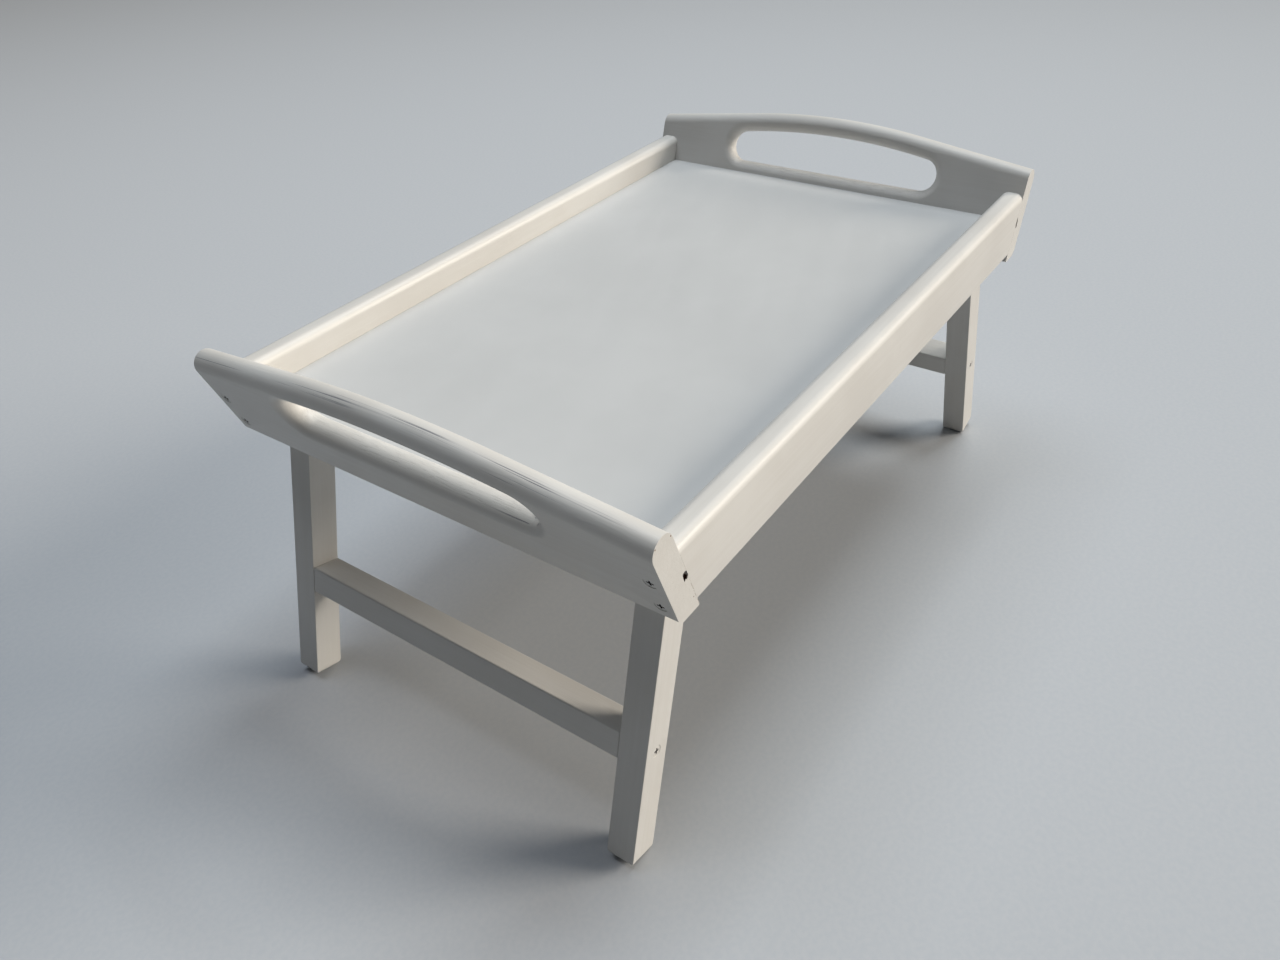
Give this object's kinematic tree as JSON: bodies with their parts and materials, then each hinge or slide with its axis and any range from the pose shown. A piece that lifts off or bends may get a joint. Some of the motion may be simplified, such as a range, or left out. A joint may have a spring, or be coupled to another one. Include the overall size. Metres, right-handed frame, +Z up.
{
  "type": "folding tray table",
  "caption": "Painted wooden tray with arched handle boards and leg frames that fold flat underneath, for meals or reading in bed.",
  "frame": {"origin": "on the floor, below the middle of the open table", "axes": "+X along the tray towards the right end board, +Y across the tray towards the back rail, +Z up"},
  "size_m": [0.594, 0.362, 0.2887],
  "materials": {
    "white_paint": "satin off-white paint on planed softwood",
    "panel_paint": "smooth satin white paint on thin board",
    "painted_steel": "steel screw heads painted over, with dark cross recesses",
    "zinc_steel": "dull zinc-plated pivot screws and washers"
  },
  "bodies": {
    "tray": {"tray_panel": "panel_paint", "side_rail_front": "white_paint", "side_rail_back": "white_paint", "end_board_left": "white_paint", "end_board_right": "white_paint", "pivot_screw_left_front": "zinc_steel", "pivot_washer_left_front": "zinc_steel", "pivot_spacer_left_front": "zinc_steel", "board_screw_left_front_lower": "painted_steel", "board_screw_left_front_upper": "painted_steel", "pivot_screw_left_back": "zinc_steel", "pivot_washer_left_back": "zinc_steel", "pivot_spacer_left_back": "zinc_steel", "board_screw_left_back_lower": "painted_steel", "board_screw_left_back_upper": "painted_steel", "pivot_screw_right_front": "zinc_steel", "pivot_washer_right_front": "zinc_steel", "pivot_spacer_right_front": "zinc_steel", "board_screw_right_front_lower": "painted_steel", "board_screw_right_front_upper": "painted_steel", "pivot_screw_right_back": "zinc_steel", "pivot_washer_right_back": "zinc_steel", "pivot_spacer_right_back": "zinc_steel", "board_screw_right_back_lower": "painted_steel", "board_screw_right_back_upper": "painted_steel"},
    "leg_frame_left": {"leg_left_front": "white_paint", "leg_left_back": "white_paint", "stretcher_left": "white_paint", "stretcher_screw_left_front": "painted_steel", "stretcher_screw_left_back": "painted_steel"},
    "leg_frame_right": {"leg_right_front": "white_paint", "leg_right_back": "white_paint", "stretcher_right": "white_paint", "stretcher_screw_right_front": "painted_steel", "stretcher_screw_right_back": "painted_steel"}
  },
  "joints": [
    {"name": "left_leg_fold", "type": "hinge", "parent": "tray", "child": "leg_frame_left", "pos_m": [-0.2279, 0, 0.21885], "axis": [0, -1, 0], "range_deg": [0, 105.3]},
    {"name": "right_leg_fold", "type": "hinge", "parent": "tray", "child": "leg_frame_right", "pos_m": [0.2279, 0, 0.21885], "axis": [0, 1, 0], "range_deg": [0, 105.3]}
  ]
}
